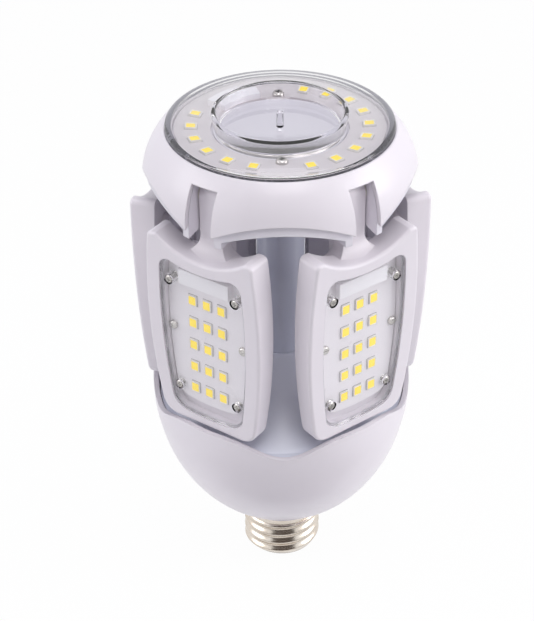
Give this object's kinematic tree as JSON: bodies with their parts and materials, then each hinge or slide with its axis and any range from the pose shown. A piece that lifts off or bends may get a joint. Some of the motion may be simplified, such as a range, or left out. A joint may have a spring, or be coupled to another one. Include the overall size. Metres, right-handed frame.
{
  "type": "garage light",
  "caption": "Screw-base LED garage lamp: bowl-shaped driver housing, column, round crown with a clear ring lens, and hinged light wings that fold up from around the column.",
  "frame": {"origin": "centre of the contact button's tip, on the lamp's axis", "axes": "+Z along the lamp's axis from the screw base to the ring lens; -Y through the middle of the gap between two wings, towards the picture's camera; +X to the right in the picture"},
  "size_m": [0.093, 0.0889, 0.1735],
  "materials": {
    "nickel_shell": "nickel-plated rolled thread",
    "contact_metal": "tinned brass button",
    "insulator_ivory": "moulded ivory insulator",
    "housing_white": "satin white moulded plastic",
    "deck_white": "glossy white moulded plastic",
    "column_white": "glossy white moulded plastic",
    "crown_frame_white": "satin white moulded plastic",
    "wing_white": "white coated casting",
    "board_white": "white solder-masked board",
    "led_phosphor": "yellow phosphor in a pale package",
    "clear_lens": "clear polycarbonate",
    "seal_rubber": "pale silicone",
    "screw_steel": "zinc-plated pan head",
    "pin_steel": "ground steel",
    "washer_plastic": "natural nylon",
    "driver_laminate": "paper laminate board",
    "transformer_core": "taped winding",
    "capacitor_sleeve": "dark sleeve",
    "film_capacitor_case": "dipped case",
    "choke_core": "coated ferrite ring",
    "lead_insulation": "white insulation"
  },
  "bodies": {
    "lamp": {"centre_contact": "contact_metal", "base_insulator": "insulator_ivory", "screw_shell": "nickel_shell", "base_bowl": "housing_white", "bowl_deck": "deck_white", "driver_board": "driver_laminate", "board_screws": "screw_steel", "driver_transformer": "transformer_core", "driver_capacitors": "capacitor_sleeve", "driver_film_capacitor": "film_capacitor_case", "driver_choke": "choke_core", "base_leads": "lead_insulation", "column_tube": "column_white", "column_leads": "lead_insulation", "column_screws": "screw_steel", "crown_frame": "crown_frame_white", "crown_cover": "housing_white", "hinge_pins": "pin_steel", "hinge_washers": "washer_plastic", "ring_board": "board_white", "ring_leds": "led_phosphor", "ring_screws": "screw_steel", "wire_cover": "board_white", "ring_gasket": "seal_rubber", "ring_lens": "clear_lens"},
    "wing_1": {"wing_frame_1": "wing_white", "wing_board_1": "board_white", "wing_leds_1": "led_phosphor", "wing_gasket_1": "seal_rubber", "wing_lens_1": "clear_lens", "wing_screws_1": "screw_steel"},
    "wing_2": {"wing_frame_2": "wing_white", "wing_board_2": "board_white", "wing_leds_2": "led_phosphor", "wing_gasket_2": "seal_rubber", "wing_lens_2": "clear_lens", "wing_screws_2": "screw_steel"},
    "wing_3": {"wing_frame_3": "wing_white", "wing_board_3": "board_white", "wing_leds_3": "led_phosphor", "wing_gasket_3": "seal_rubber", "wing_lens_3": "clear_lens", "wing_screws_3": "screw_steel"},
    "wing_4": {"wing_frame_4": "wing_white", "wing_board_4": "board_white", "wing_leds_4": "led_phosphor", "wing_gasket_4": "seal_rubber", "wing_lens_4": "clear_lens", "wing_screws_4": "screw_steel"},
    "wing_5": {"wing_frame_5": "wing_white", "wing_board_5": "board_white", "wing_leds_5": "led_phosphor", "wing_gasket_5": "seal_rubber", "wing_lens_5": "clear_lens", "wing_screws_5": "screw_steel"}
  },
  "joints": [
    {"name": "wing_hinge_1", "type": "hinge", "parent": "lamp", "child": "wing_1", "pos_m": [0, 0.0325, 0.15948], "axis": [1, 0, 0], "range_deg": [0, 90]},
    {"name": "wing_hinge_2", "type": "hinge", "parent": "lamp", "child": "wing_2", "pos_m": [-0.03091, 0.01004, 0.15948], "axis": [0.309, 0.9511, 0], "range_deg": [0, 90]},
    {"name": "wing_hinge_3", "type": "hinge", "parent": "lamp", "child": "wing_3", "pos_m": [-0.0191, -0.02629, 0.15948], "axis": [-0.809, 0.5878, 0], "range_deg": [0, 90]},
    {"name": "wing_hinge_4", "type": "hinge", "parent": "lamp", "child": "wing_4", "pos_m": [0.0191, -0.02629, 0.15948], "axis": [-0.809, -0.5878, 0], "range_deg": [0, 90]},
    {"name": "wing_hinge_5", "type": "hinge", "parent": "lamp", "child": "wing_5", "pos_m": [0.03091, 0.01004, 0.15948], "axis": [0.309, -0.9511, 0], "range_deg": [0, 90]}
  ]
}
